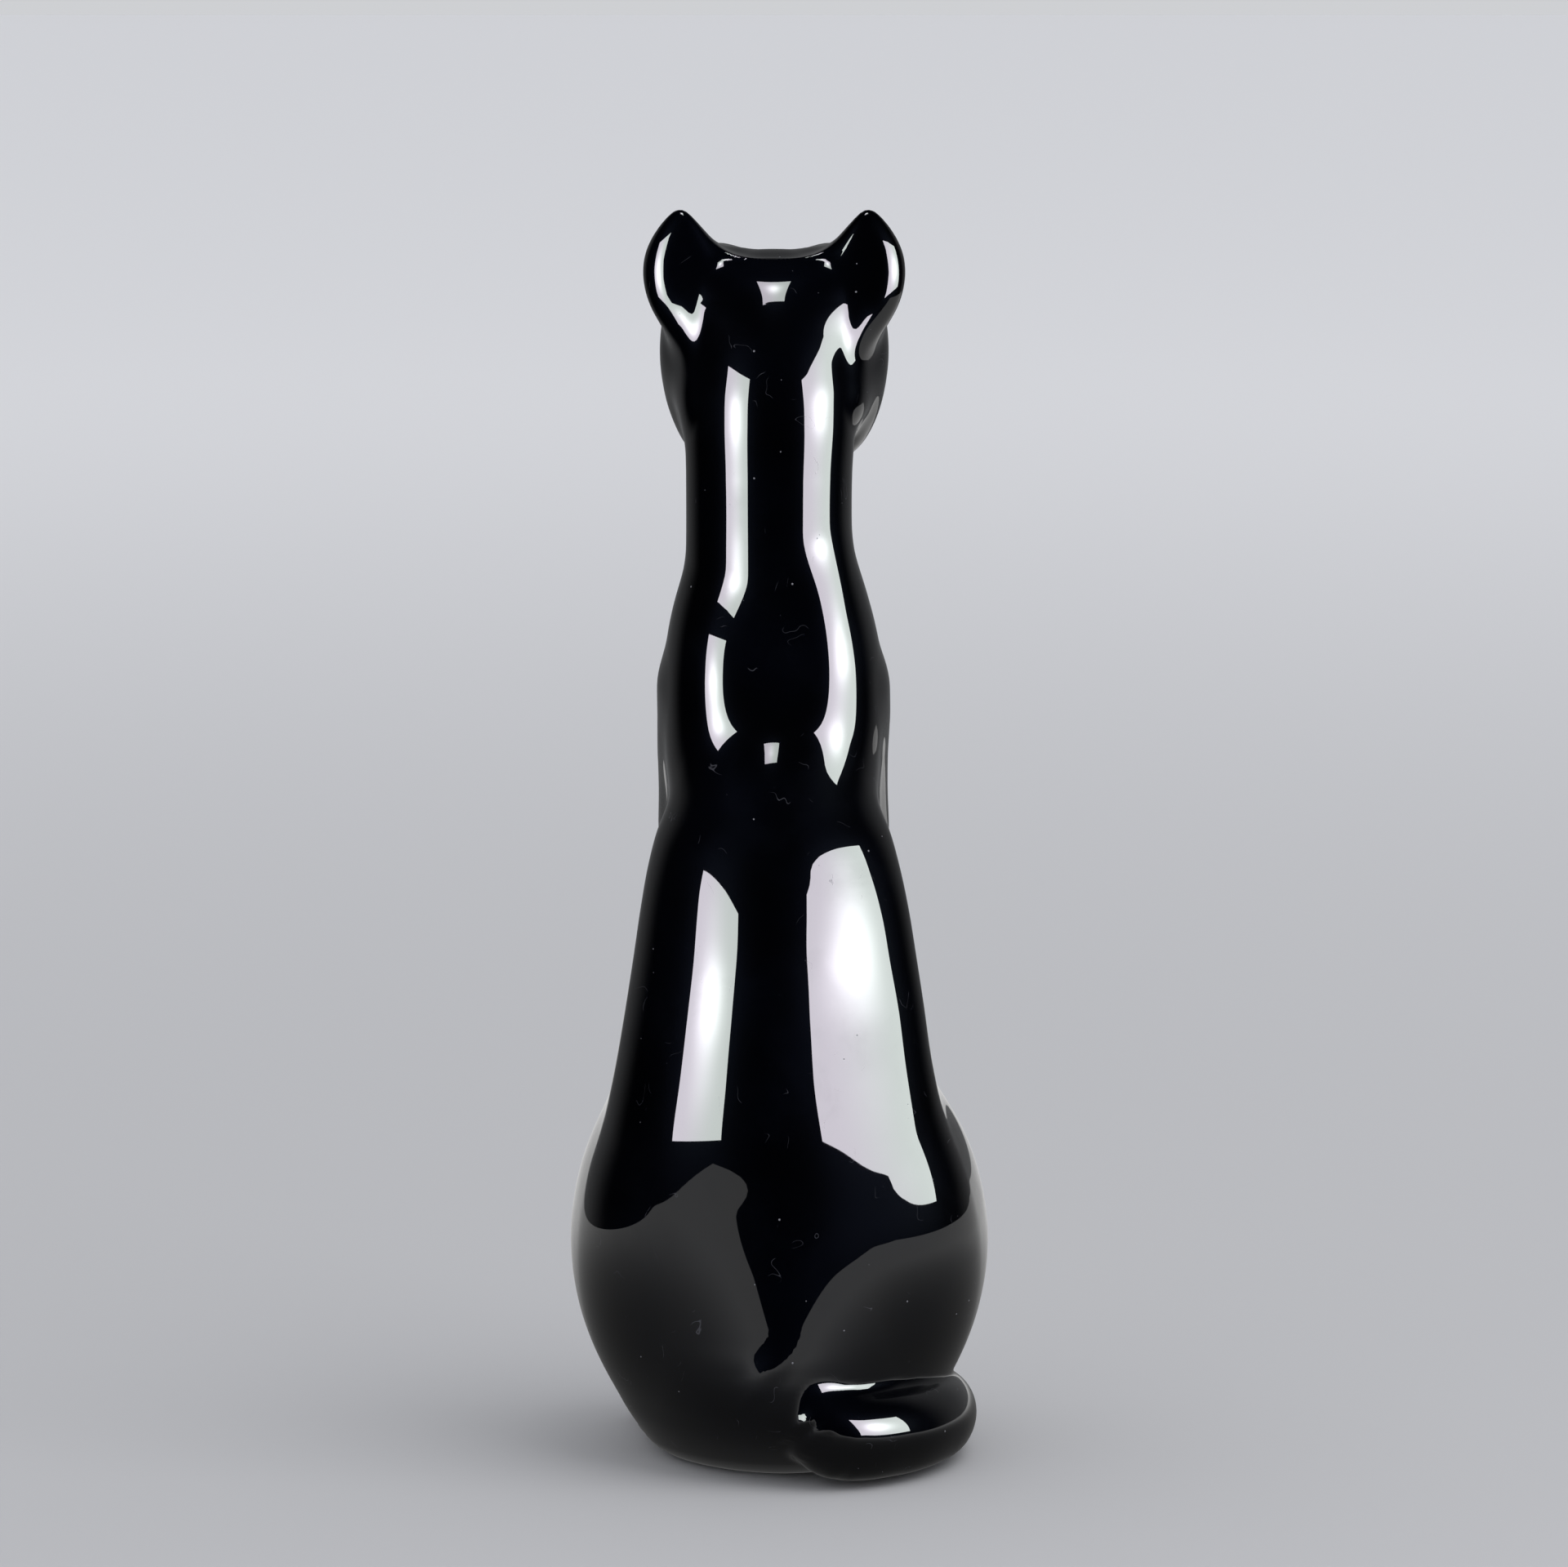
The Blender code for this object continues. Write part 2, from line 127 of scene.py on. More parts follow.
trunk = {  # height, half width, back, front, widest line, lean, twist, back power, front power
    "rows": [
        (-6, 14.0, 19.0, -14.0, 2.0, 0.0, -0.6, 1.8, 2.4),
        (0, 15.4, 17.8, -16.6, 2.5, 0.0, -0.6, 1.8, 2.4),
        (2.5, 17.3, 21.4, -17.2, 2.7, 0.0, -0.4, 1.75, 2.4),
        (5.5, 19.0, 24.7, -17.5, 3.0, 0.0, -0.2, 1.7, 2.4),
        (8.5, 20.0, 26.8, -17.8, 3.4, 0.0, -0.1, 1.68, 2.4),
        (12, 21.1, 27.7, -18.0, 4.1, 0.0, 0.0, 1.68, 2.4),
        (15.5, 22.1, 27.7, -18.0, 5.0, 0.0, 0.2, 1.68, 2.35),
        (19, 23.0, 27.45, -18.0, 6.0, 0.0, 0.3, 1.68, 2.3),
        (28, 24.3, 26.8, -17.0, 8.5, 0.0, 0.9, 1.68, 2.3),
        (36, 23.6, 26.25, -15.5, 10.0, 0.3, 1.5, 1.68, 2.2),
        (44, 21.9, 25.9, -14.0, 11.0, 0.6, 1.95, 1.66, 2.2),
        (52, 20.2, 25.25, -13.0, 11.5, 0.65, 2.05, 1.62, 2.1),
        (60, 18.9, 24.2, -12.6, 11.2, 0.55, 1.9, 1.62, 2.0),
        (66, 17.95, 22.9, -12.6, 10.3, 0.55, 1.6, 1.65, 2.0),
        (72, 17.0, 21.0, -12.7, 9.0, 0.6, 1.3, 1.7, 2.0),
        (77, 16.0, 19.2, -12.8, 7.4, 0.7, 1.0, 1.78, 2.0),
        (81, 14.9, 17.7, -12.8, 5.8, 0.75, 0.7, 1.84, 2.0),
        (85, 13.3, 16.1, -13.0, 4.2, 0.8, 0.5, 1.8, 2.0),
        (90, 12.2, 13.8, -13.2, 2.2, 0.85, 0.3, 1.8, 2.0),
        (95, 11.7, 10.8, -13.2, 0.4, 0.7, 0.1, 1.9, 2.0),
        (102, 11.4, 8.9, -12.8, -1.0, 0.8, 0.0, 2.0, 2.0),
        (110, 10.9, 7.6, -11.8, -1.9, 1.15, -0.2, 2.0, 2.0),
        (118, 10.6, 6.95, -11.2, -2.2, 1.3, -0.3, 2.0, 2.0),
        (126, 10.6, 6.85, -11.2, -2.2, 1.3, -0.3, 2.0, 2.0),
        (133, 10.8, 6.6, -11.4, -2.4, 1.15, -0.2, 2.0, 2.0),
        (137, 10.6, 6.1, -11.2, -2.6, 1.05, -0.1, 2.0, 2.0),
        (140, 10.1, 5.4, -11.0, -2.8, 0.95, 0.0, 2.0, 2.0),
        (144, 9.6, 4.1, -10.6, -3.2, 0.85, 0.0, 2.0, 2.0),
        (148, 9.4, 2.3, -10.0, -3.8, 0.75, 0.0, 2.0, 2.0),
        (151, 8.7, 0.5, -9.0, -4.4, 0.7, 0.0, 2.0, 2.0),
        (153.5, 6.8, -1.7, -8.0, -5.0, 0.65, 0.0, 2.0, 2.0),
    ],
    "leanColumn": 5, "top": 153.6,
}
haunch = {
    "thigh": (13.0, -2.5, 27.5), "thighRadii": (13.6, 19.5, 21.5), "melt": 6.0, "thighHeights": (-20, 70),
    "heel": (13.4, -3.0, 4.2, 4.9), "toe": (15.0, -17.6, 3.9, 4.6), "pawMelt": 2.6,
    "pawHeights": (-20, 24),
}
shoulder = {
    "blade": {1: (6.4, 0.8, 98.0), -1: (6.4, 0.4, 99.5)},
    "bladeRadii": {1: (5.8, 7.0, 11.5), -1: (5.6, 6.7, 14.5)}, "bladeMelt": 6.0,
    "point": (7.8, -4.6, 96.0), "pointRadii": (5.4, 8.4, 16.5), "pointMelt": 4.5,
    "heights": (66, 124),
}
foreleg = {
    "joints": [(9.0, -4.0, 98.5, 5.3), (9.0, -9.6, 80, 5.9), (8.3, -16, 46, 5.5), (8.3, -19.6, 20, 4.8),
               (8.3, -20.6, 8, 4.9)],
    "paw": (8.3, -25.6, 3.9), "pawRadii": (6.1, 8.0, 5.0), "melt": 3.0,
    "toes": [(-4.1, -30.1, 3.0), (-1.45, -31.6, 3.3), (1.45, -31.6, 3.3), (4.1, -30.1, 3.0)],
    "toeRadii": (1.75, 2.4, 2.7), "toeMelt": 0.9,
    "heights": (-20, 116), "pawHeights": (-20, 20),
}
head = {  # places about the centre
    "centre": (0.65, -5.0, 144.3), "skull": (13.6, 11.2, 11.7), "skullDrop": 1.5, "skullPower": 2.3,
    "nape": (0, -19.8, -11.7), "napeRadii": (17.0, 30.0, 30.0), "napeEdge": 2.0,
    "cheek": (7.2, -5.6, -3.4), "cheekRadii": (7.4, 6.6, 14.0), "cheekMelt": 3.0,
    "brow": (4.6, -9.4, 1.6), "browRadii": (4.4, 3.4, 2.6),
    "bridge": [(0, -9.2, 2.8, 3.4), (0, -13.4, -2.4, 2.3)],
    "pad": (2.3, -12.5, -4.8), "padRadii": (3.5, 3.5, 2.8), "padMelt": 1.4, "lipMelt": 0.5,
    "chin": (0, -11.5, -7.4), "chinRadii": (2.7, 2.9, 2.0),
    "nose": (0, -15.4, -2.9), "noseRadii": (1.6, 1.1, 1.05), "noseMelt": 0.5,
    "socket": (6.1, -11.8, 0.3), "socketRadii": (3.6, 2.4, 2.3), "socketEdge": 1.6,
    "eye": (6.0, -9.9, 0.3), "eyeRadii": (3.0, 2.3, 1.75), "eyeTilt": 16, "lidMelt": 0.35,
    "napeMelt": 1.4, "jawMelt": 5.0, "jawFrom": 8.5, "jawOver": 3.5, "heights": (112, 190),
}
ear = {  # places about the head's centre
    "tip": (12.4, 2.2, 15.85), "spread": (0.8, 0.44), "roundness": 1.6, "power": 3.0, "lean": 0.35,
    "wall": (0, 0.9, 7.6), "wallRadii": (16.7, 8.2, 13.6), "wallEdge": 2.4, "melt": 3.0,
    "dish": [(10.0, -8.4, 4.6, 3.2), (12.3, -1.6, 12.4, 0.9)], "dishMelt": 1.0,
    "heights": (136, 190),
}
tail = {  # x, y, z, radius
    "rows": [
        (-1.8, 16.0, 20.5, 2.2), (-2.2, 19.4, 15.6, 3.6), (-3.2, 21.7, 11.6, 4.9), (-4.9, 22.6, 8.8, 5.7),
        (-7.4, 22.2, 7.0, 6.25), (-13.2, 18.4, 6.0, 6.3), (-17.8, 12.0, 5.6, 5.9), (-19.9, 3.6, 5.2, 5.5),
        (-19.9, -4.6, 4.8, 4.9), (-18.3, -12.4, 4.3, 4.2), (-15.2, -18.4, 3.7, 3.4),
    ],
    "samples": 45, "steps": 3, "probe": 0.2, "leastPull": 0.2, "stride": 2,
    "melt": 0.9, "rootMelt": 6.0, "rootFrom": (-2, 13), "rootOver": (6, 8),  # the last two in x and z
    "heights": (-20, 40),
}
base = {"edge": 2.4}


def trunkField(p):
    # two half superellipses that meet at the widest line: scaled size less one, over size, times distance
    columns = throughStations(p[:, 2], trunk["rows"])[:, 1:].T
    half, back, front, widest, lean, twist, backPower, frontPower = columns
    x, y = p[:, 0] - lean, p[:, 1] - widest
    depth = np.where(y > 0, back - widest, widest - front)
    x = x - twist * smooth(y / depth)
    power = np.where(y > 0, backPower, frontPower)
    size = ((np.abs(x) / half) ** power + (np.abs(y) / depth) ** power) ** (1 / power)
    size = np.maximum(size, tiny["size"])
    return np.maximum(np.hypot(x, y) * (size - 1) / size, p[:, 2] - trunk["top"])


def upright(p):
    # the points with the trunk's sideways lean taken out
    rows = np.array(trunk["rows"])
    straight = p.copy()
    straight[:, 0] -= np.interp(p[:, 2], rows[:, 0], rows[:, trunk["leanColumn"]])
    return straight


def withThighs(field, p):
    # an ellipsoid on each side, melted in softly
    for side in (-1, 1):
        thigh = blob(p, mirrored(haunch["thigh"], side), haunch["thighRadii"])
        field = melt(field, thigh, haunch["melt"])
    return field


def withHindPaws(field, p):
    # a round cone on each side from heel to toe
    for side in (-1, 1):
        paw = cones(p, mirrored([haunch["heel"], haunch["toe"]], side))
        field = melt(field, paw, haunch["pawMelt"])
    return field


def withShoulders(field, p):
    # two ellipsoids on each side: the blade behind and the point of the shoulder below it
    p = upright(p)
    for side in (-1, 1):
        blade = blob(p, mirrored(shoulder["blade"][side], side), shoulder["bladeRadii"][side])
        point = blob(p, mirrored(shoulder["point"], side), shoulder["pointRadii"])
        field = melt(melt(field, blade, shoulder["bladeMelt"]), point, shoulder["pointMelt"])
    return field


def withForelegs(field, p):
    # a string of round cones on each side, from the shoulder to the wrist
    p = upright(p)
    for side in (-1, 1):
        field = melt(field, cones(p, mirrored(foreleg["joints"], side)), foreleg["melt"])
    return field


def withForePaws(field, p):
    # an ellipsoid with four small ones for toes
    for side in (-1, 1):
        paw = blob(p, mirrored(foreleg["paw"], side), foreleg["pawRadii"])
        for dx, y, z in foreleg["toes"]:
            toe = blob(p, (side * (foreleg["paw"][0] + dx), y, z), foreleg["toeRadii"])
            paw = melt(paw, toe, foreleg["toeMelt"])
        field = melt(field, paw, foreleg["melt"])
    return field


def skullField(q):
    # superellipsoid cut back by the nape's ellipsoid, with cheeks, brow and bridge melted on
    field = blob(q, (0, 0, -head["skullDrop"]), head["skull"], head["skullPower"])
    field = common(field, blob(q, head["nape"], head["napeRadii"]), head["napeEdge"])
    for side in (-1, 1):
        field = melt(field, blob(q, mirrored(head["cheek"], side), head["cheekRadii"]), head["cheekMelt"])
        field = melt(field, blob(q, mirrored(head["brow"], side), head["browRadii"]), head["cheekMelt"])
    return melt(field, cones(q, head["bridge"]), head["cheekMelt"])


def muzzleField(q):
    # ellipsoids: the chin and the two pads, melted so little that the line of the mouth shows
    field = blob(q, head["chin"], head["chinRadii"])
    for side in (-1, 1):
        field = melt(field, blob(q, mirrored(head["pad"], side), head["padRadii"]), head["lipMelt"])
    return field


def withHead(field, p):
    # skull, muzzle and nose melted together; an ellipsoid turned by the tilt carves each socket, another
    # fills it with the eye; the nape runs into the neck tightly and the jaws softly
    q = p - np.array(head["centre"])
    face = melt(skullField(q), muzzleField(q), head["padMelt"])
    face = melt(face, blob(q, head["nose"], head["noseRadii"]), head["noseMelt"])
    for side in (-1, 1):
        tilt = math.radians(head["eyeTilt"]) * side
        turn = np.array([[math.cos(tilt), 0, -math.sin(tilt)],
                         [0, 1, 0],
                         [math.sin(tilt), 0, math.cos(tilt)]])
        socket = blob((q - mirrored(head["socket"], side)) @ turn, (0, 0, 0), head["socketRadii"])
        eye = blob((q - mirrored(head["eye"], side)) @ turn, (0, 0, 0), head["eyeRadii"])
        face = melt(carve(face, socket, head["socketEdge"]), eye, head["lidMelt"])
    outward = smooth((np.abs(q[:, 0]) - head["jawFrom"]) / head["jawOver"])
    return melt(field, face, head["napeMelt"] + (head["jawMelt"] - head["napeMelt"]) * outward)


def withEars(field, p):
    # each ear hangs from its rounded tip as a hyperboloid: width squared less depth squared plus roundness
    # squared, over its slope; an ellipsoid bounds it, and a round cone carves the dish in front
    q = p - np.array(head["centre"])
    wall = blob(q, ear["wall"], ear["wallRadii"])
    spread = np.array(ear["spread"])
    for side in (-1, 1):
        hung = (q - mirrored(ear["tip"], side)) * (1, 1, -1)
        deep = np.maximum(hung[:, 2], 0) + ear["roundness"]
        hung[:, 1] += ear["lean"] * (deep - ear["roundness"])
        across = hung[:, :2] / spread
        wide = np.sum(np.abs(across) ** ear["power"], axis=1) ** (2 / ear["power"])
        excess = wide - deep**2 + ear["roundness"] ** 2
        slope = 2 * np.sqrt(np.sum((across / spread) ** 2, axis=1) + deep**2)
        shell = common(np.maximum(excess / slope, -hung[:, 2]), wall, ear["wallEdge"])
        field = melt(field, shell, ear["melt"])
        field = carve(field, cones(q, mirrored(ear["dish"], side)), ear["dishMelt"])
    return field


# the tail's rows with the length along them in front, and points at even steps of that length
tailRows = np.array(tail["rows"], float)
tailRuns = np.linalg.norm(np.diff(tailRows[:, :3], axis=0), axis=1)
tailStations = np.column_stack([np.concatenate([[0], np.cumsum(tailRuns)]), tailRows])
tailShares = np.linspace(0, tailStations[-1, 0], tail["samples"])
tailPoints = throughStations(tailShares, tailStations)[:, 1:4]


def withTail(field, p):
    # a tube on a smooth curve: from the nearest sample, Newton steps slide along it to the nearest place,
    # and the field is the distance to that place less the radius there
    far = np.sum(p * p, axis=1)[:, None] - 2 * p @ tailPoints.T + np.sum(tailPoints**2, axis=1)
    along = tailShares[np.argmin(far, axis=1)]
    probe, stride = tail["probe"], tail["stride"]
    for _ in range(tail["steps"]):
        here = throughStations(along, tailStations)[:, 1:4]
        ahead = throughStations(along + probe, tailStations)[:, 1:4]
        behind = throughStations(along - probe, tailStations)[:, 1:4]
        way = (ahead - behind) / (2 * probe)
        step = np.sum((p - here) * way, axis=1) / np.maximum(np.sum(way**2, axis=1), tail["leastPull"])
        along = np.clip(along + np.clip(step, -stride, stride), 0, tailStations[-1, 0])
    here = throughStations(along, tailStations)[:, 1:]
    tube = np.linalg.norm(p - here[:, :3], axis=1) - here[:, 3]
    # the root runs into the rump softly, the coil lies on it with a crease
    softness = smooth(np.sum((p[:, [0, 2]] - tail["rootFrom"]) / tail["rootOver"], axis=1))
    return melt(field, tube, tail["melt"] + (tail["rootMelt"] - tail["melt"]) * softness)


def figureField(p):
    # everything melted together, then cut off level at the ground
    field = trunkField(p)
    field = within(field, p, haunch["thighHeights"], withThighs)
    field = within(field, p, haunch["pawHeights"], withHindPaws)
    field = within(field, p, shoulder["heights"], withShoulders)
    field = within(field, p, foreleg["heights"], withForelegs)
    field = within(field, p, foreleg["pawHeights"], withForePaws)
    field = within(field, p, head["heights"], withHead)
    field = within(field, p, ear["heights"], withEars)
    field = within(field, p, tail["heights"], withTail)
    return common(field, -p[:, 2], base["edge"])


skin = {
    "columns": 280, "rows": 341, "relaxings": 5, "reach": 46.0, "marches": 60, "caution": 0.75,
    "arrived": 0.02, "probe": 0.04, "leastSlope": 0.3,
    # share of the rows, height of the ray's start, tilt of the ray
    "rays": [(0.00, 12, -90), (0.04, 12, -30), (0.17, 13, -5), (0.20, 18, 0), (0.56, 121, 0),
             (0.62, 134, -28), (0.73, 144, 0), (0.86, 140, 40), (0.94, 137, 66), (1.00, 136, 90)],
    # height, x and y of the line the rays start from
    "axis": [(0, 0, 0), (24, 0, 1), (60, 0.6, 3), (88, 0.7, -1), (125, 1.3, -2.2), (145, 0.6, -4.2)],
    "back": 25.8,  # the y of these measures that lies on the back of the frame's body
}


def slopeOf(p):
    # gradient: the mean of the corners of a small tetrahedron, each times the field there
    corners = np.array([(1, -1, -1), (-1, -1, 1), (-1, 1, -1), (1, 1, 1)], float)
    probe = skin["probe"]
    return sum(corner * figureField(p + probe * corner)[:, None] for corner in corners) / (4 * probe)


def drawn(p):
    # one Newton step along the gradient onto the surface
    slope = slopeOf(p)
    share = figureField(p) / np.maximum(np.sum(slope**2, axis=1), skin["leastSlope"])
    return p - slope * share[:, None]


def eased(grid):
    # each point goes halfway to the mean of its four neighbours; the pole rows stay
    out = grid.copy()
    around = (np.roll(grid, 1, 1) + np.roll(grid, -1, 1)) / 4
    out[1:-1] = grid[1:-1] / 2 + (around[1:-1] + (grid[2:] + grid[:-2]) / 4) / 2
    return out


def raysOut(rows, columns):
    # starts on the spine and unit ways out: a turn about the height for each column, and for each row a
    # tilt that fans them under the base and over the crown
    share = np.linspace(0, 1, rows + 2)[1:-1]
    rays = np.array(skin["rays"])
    height = np.interp(share, rays[:, 0], rays[:, 1])
    tilt = np.radians(np.interp(share, rays[:, 0], rays[:, 2]))[:, None]
    turn = np.linspace(0, 2 * np.pi, columns, endpoint=False)[None, :]
    way = np.stack(np.broadcast_arrays(np.cos(tilt) * np.sin(turn), np.cos(tilt) * np.cos(turn),
                                       np.sin(tilt)), -1).reshape(-1, 3)
    return np.repeat(throughStations(height, skin["axis"])[:, [1, 2, 0]], columns, axis=0), way


def castSkin():
    # a point comes in along each ray from outside by a share of the field until it meets the surface, then
    # the grid is eased along the surface
    fewer = 1
    rows, columns = skin["rows"] // fewer, skin["columns"] // fewer
    start, way = raysOut(rows, columns)
    gap = np.full(len(way), skin["reach"])
    moving = np.arange(len(way))
    for _ in range(skin["marches"]):
        value = figureField(start[moving] + way[moving] * gap[moving, None])
        gap[moving] -= skin["caution"] * value
        moving = moving[value > skin["arrived"]]
        if not len(moving):
            break
    shape = (rows, columns, 3)
    grid = (start + way * gap[:, None]).reshape(shape)
    for _ in range(skin["relaxings"]):
        grid = drawn(eased(grid).reshape(-1, 3)).reshape(shape)
    grid = drawn(grid.reshape(-1, 3)).reshape(shape)
    foot = np.append(grid[0].mean(axis=0)[:2], 0)
    return grid, foot, drawn(grid[-1].mean(axis=0)[None])[0]


def closedMesh(name, grid, foot, crown):
    # quads between the rows, and a ring of triangles at each pole
    rows, columns = grid.shape[:2]
    points = np.concatenate([grid.reshape(-1, 3), foot[None], crown[None]]) * millimetre
    here = np.arange(rows - 1)[:, None] * columns + np.arange(columns)
    ahead = np.arange(rows - 1)[:, None] * columns + np.roll(np.arange(columns), -1)
    quads = np.stack([here, here + columns, ahead + columns, ahead], -1).reshape(-1, 4)
    first, last = np.arange(columns), (rows - 1) * columns + np.arange(columns)
    below = np.stack([first, np.roll(first, -1), np.full(columns, len(points) - 2)], -1)
    above = np.stack([np.roll(last, -1), last, np.full(columns, len(points) - 1)], -1)
    mesh = bpy.data.meshes.new(name)
    mesh.from_pydata(points, [], quads.tolist() + below.tolist() + above.tolist())
    mesh.shade_smooth()
    piece = bpy.data.objects.new(name, mesh)
    bpy.context.scene.collection.objects.link(piece)
    return piece


print("casting the skin")
grid, foot, crown = castSkin()
shift = np.array([0.0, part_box("body")[1].y / millimetre - skin["back"], 0.0])
figure = closedMesh("figure_skin", grid + shift, foot + shift, crown + shift)
print("skin", grid.min((0, 1)).round(2), grid.max((0, 1)).round(2), len(figure.data.polygons))


class Wire:
    # an output socket of a node tree: arithmetic on it, from either side, adds Math nodes
    def __init__(self, tree, socket=None):
        self.tree = tree
        self.socket = socket

    def node(self, kind, settings, values, output=0):
        # a node of this type: its settings first, then the values or links of its sockets
        made = self.tree.nodes.new("ShaderNode" + kind)
        for name, value in settings.items():
            setattr(made, name, value)
        for name, value in values.items():
            if isinstance(value, Wire):
                self.tree.links.new(value.socket, made.inputs[name])
            else:
                made.inputs[name].default_value = value
        return Wire(self.tree, made.outputs[output])

    def beside(self, output):
        # another output of the same node
        return Wire(self.tree, self.socket.node.outputs[output])

    def maths(self, operation, *values):
        return self.node("Math", {"operation": operation}, dict(enumerate(values)))

    def __add__(self, other):
        return self.maths("ADD", self, other)

    def __radd__(self, other):
        return self.maths("ADD", other, self)

    def __sub__(self, other):
        return self.maths("SUBTRACT", self, other)

    def __rsub__(self, other):
        return self.maths("SUBTRACT", other, self)

    def __mul__(self, other):
        return self.maths("MULTIPLY", self, other)

    def __rmul__(self, other):
        return self.maths("MULTIPLY", other, self)

    def __abs__(self):
        return self.maths("ABSOLUTE", self)

    def between(self, low, high):
        # 0 at the first value and 1 at the second, smoothly
        bounds = {"Value": self, "From Min": low, "From Max": high}
        return self.node("MapRange", {"interpolation_type": "SMOOTHSTEP"}, bounds)

    def mixed(self, first, second):
        # this share of the second colour in the first, on the sockets that the Mix node keeps for colours
        return self.node("Mix", {"data_type": "RGBA"}, {0: self, 6: first, 7: second}, 2)

    def into(self, node, name):
        self.tree.links.new(self.socket, node.inputs[name])


crystal = {
    "ior": 1.5, "specularLevel": 0.012, "specularTint": (0.55, 0.68, 1.0, 1),
    "coatRoughness": 0.012, "coatIor": 1.54,
    "deep": (0.0002, 0.0002, 0.0005, 1), "cool": (0.0004, 0.0006, 0.0018, 1),
    "hazeScale": 0.055, "hazeDetail": 3.0, "hazeSpan": (0.35, 0.70), "hazeRough": (0.24, 0.40),
    "smearScale": 0.11, "smearDetail": 5.0, "smearRoughness": 0.62, "smearDistortion": 0.6,
    "smearSpan": (0.50, 0.74), "smearRough": 0.12, "smearLoss": 0.06,
    "speckScale": 0.62, "speckShare": 0.68, "speckSize": 0.30, "speckEdge": 0.02,
    "speckColor": (0.22, 0.22, 0.24, 1), "speckRough": 0.4, "speckLoss": 0.85, "speckHeight": 0.15,
    "hairScale": 0.30, "hairWidth": 0.004, "hairDistortion": 0.4, "hairColor": (0.06, 0.06, 0.07, 1),
    "hairLoss": 0.35, "patchShift": (31.0, 17.0, 5.0), "patchSpan": (0.69, 0.74),
    "bump": 0.00003,
}


def crystalMarks(place):
    # haze from noise; smears from warped noise; a speck in a share of the Voronoi cells, wider the further
    # its cell's number is above that share; hairlines where noise crosses its middle, in scattered patches
    cloud = place.node("TexNoise", {}, {"Vector": place, "Scale": crystal["hazeScale"],
                                        "Detail": crystal["hazeDetail"]})
    streak = place.node("TexNoise", {}, {"Vector": place, "Scale": crystal["smearScale"],
                                         "Detail": crystal["smearDetail"],
                                         "Roughness": crystal["smearRoughness"],
                                         "Distortion": crystal["smearDistortion"]})
    cell = place.node("TexVoronoi", {}, {"Vector": place, "Scale": crystal["speckScale"]}, "Distance")
    pick = place.node("SeparateColor", {}, {0: cell.beside("Color")}, "Red")
    speck = (pick - crystal["speckShare"]) * crystal["speckSize"] - cell
    strand = place.node("TexNoise", {}, {"Vector": place, "Scale": crystal["hairScale"], "Detail": 1.0,
                                         "Distortion": crystal["hairDistortion"]})
    shifted = place.node("VectorMath", {"operation": "ADD"}, {0: place, 1: crystal["patchShift"]})
    patch = place.node("TexNoise", {}, {"Vector": shifted, "Scale": crystal["hairScale"], "Detail": 0.0})
    hair = abs(strand - 0.5).between(crystal["hairWidth"], 0.0) * patch.between(*crystal["patchSpan"])
    return cloud, streak.between(*crystal["smearSpan"]), speck.between(0.0, crystal["speckEdge"]), hair


def blackCrystal():
    # polished black glass: a sharp coat over a faint navy haze, with dust, hairlines and soft smears
    material = bpy.data.materials.new("blackCrystal")
    material.use_nodes = True
    shader = material.node_tree.nodes["Principled BSDF"]
    shader.inputs["IOR"].default_value = crystal["ior"]
    shader.inputs["Specular IOR Level"].default_value = crystal["specularLevel"]
    shader.inputs["Specular Tint"].default_value = crystal["specularTint"]
    shader.inputs["Coat Roughness"].default_value = crystal["coatRoughness"]
    shader.inputs["Coat IOR"].default_value = crystal["coatIor"]

    start = Wire(material.node_tree)
    metres = start.node("TexCoord", {}, {}, "Object")
    place = start.node("VectorMath", {"operation": "SCALE"}, {0: metres, "Scale": 1 / millimetre})
    cloud, smear, speck, hair = crystalMarks(place)

    color = cloud.between(*crystal["hazeSpan"]).mixed(crystal["deep"], crystal["cool"])
    color = hair.mixed(color, crystal["hairColor"])
    color = speck.mixed(color, crystal["speckColor"])
    low, high = crystal["hazeRough"]
    rough = low + (high - low) * cloud + crystal["smearRough"] * smear + crystal["speckRough"] * speck
    coat = 1 - crystal["speckLoss"] * speck - crystal["hairLoss"] * hair - crystal["smearLoss"] * smear
    height = cloud + crystal["speckHeight"] * speck
    bump = start.node("Bump", {}, {"Strength": 1.0, "Distance": crystal["bump"], "Height": height})
    color.into(shader, "Base Color")
    rough.into(shader, "Roughness")
    coat.into(shader, "Coat Weight")
    bump.into(shader, "Normal")
    return material


figure.data.materials.append(blackCrystal())
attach(figure, "root")
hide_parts("body", "left_ear", "right_ear", "left_foreleg", "right_foreleg", "tail")
print("crystal on")


table = {
    # near and far: the seen floor's colour, painted darker near the figure's foot as shade and paling out
    # over the fade's distances
    "half": 4.0, "near": (0.52, 0.52, 0.535, 1), "far": (0.86, 0.86, 0.88, 1), "fade": (0.05, 1.6),
    "roughness": 0.8, "specularLevel": 0.1, "glowHeight": -0.0002,
    # glow: a sheet seen only in the polish, a painted reflection of the lit table; glowNear paints it
    # darker at the figure's foot as the table's shadow
    "glowLow": (-0.5, -0.45), "glowHigh": (0.19, 0.30), "glow": 0.70, "glowShade": (0.02, 0.22),
    "glowNear": (0.13, 0.13, 0.13, 1), "glowFar": (1, 1, 1, 1),
}


def levelSheet(name, low, high, height):
    # a level rectangle between two corners
    corners = [(low[0], low[1], height), (high[0], low[1], height),
               (high[0], high[1], height), (low[0], high[1], height)]
    mesh = bpy.data.meshes.new(name)
    mesh.from_pydata(corners, [], [(0, 1, 2, 3)])
    piece = bpy.data.objects.new(name, mesh)
    bpy.context.scene.collection.objects.link(piece)
    return piece


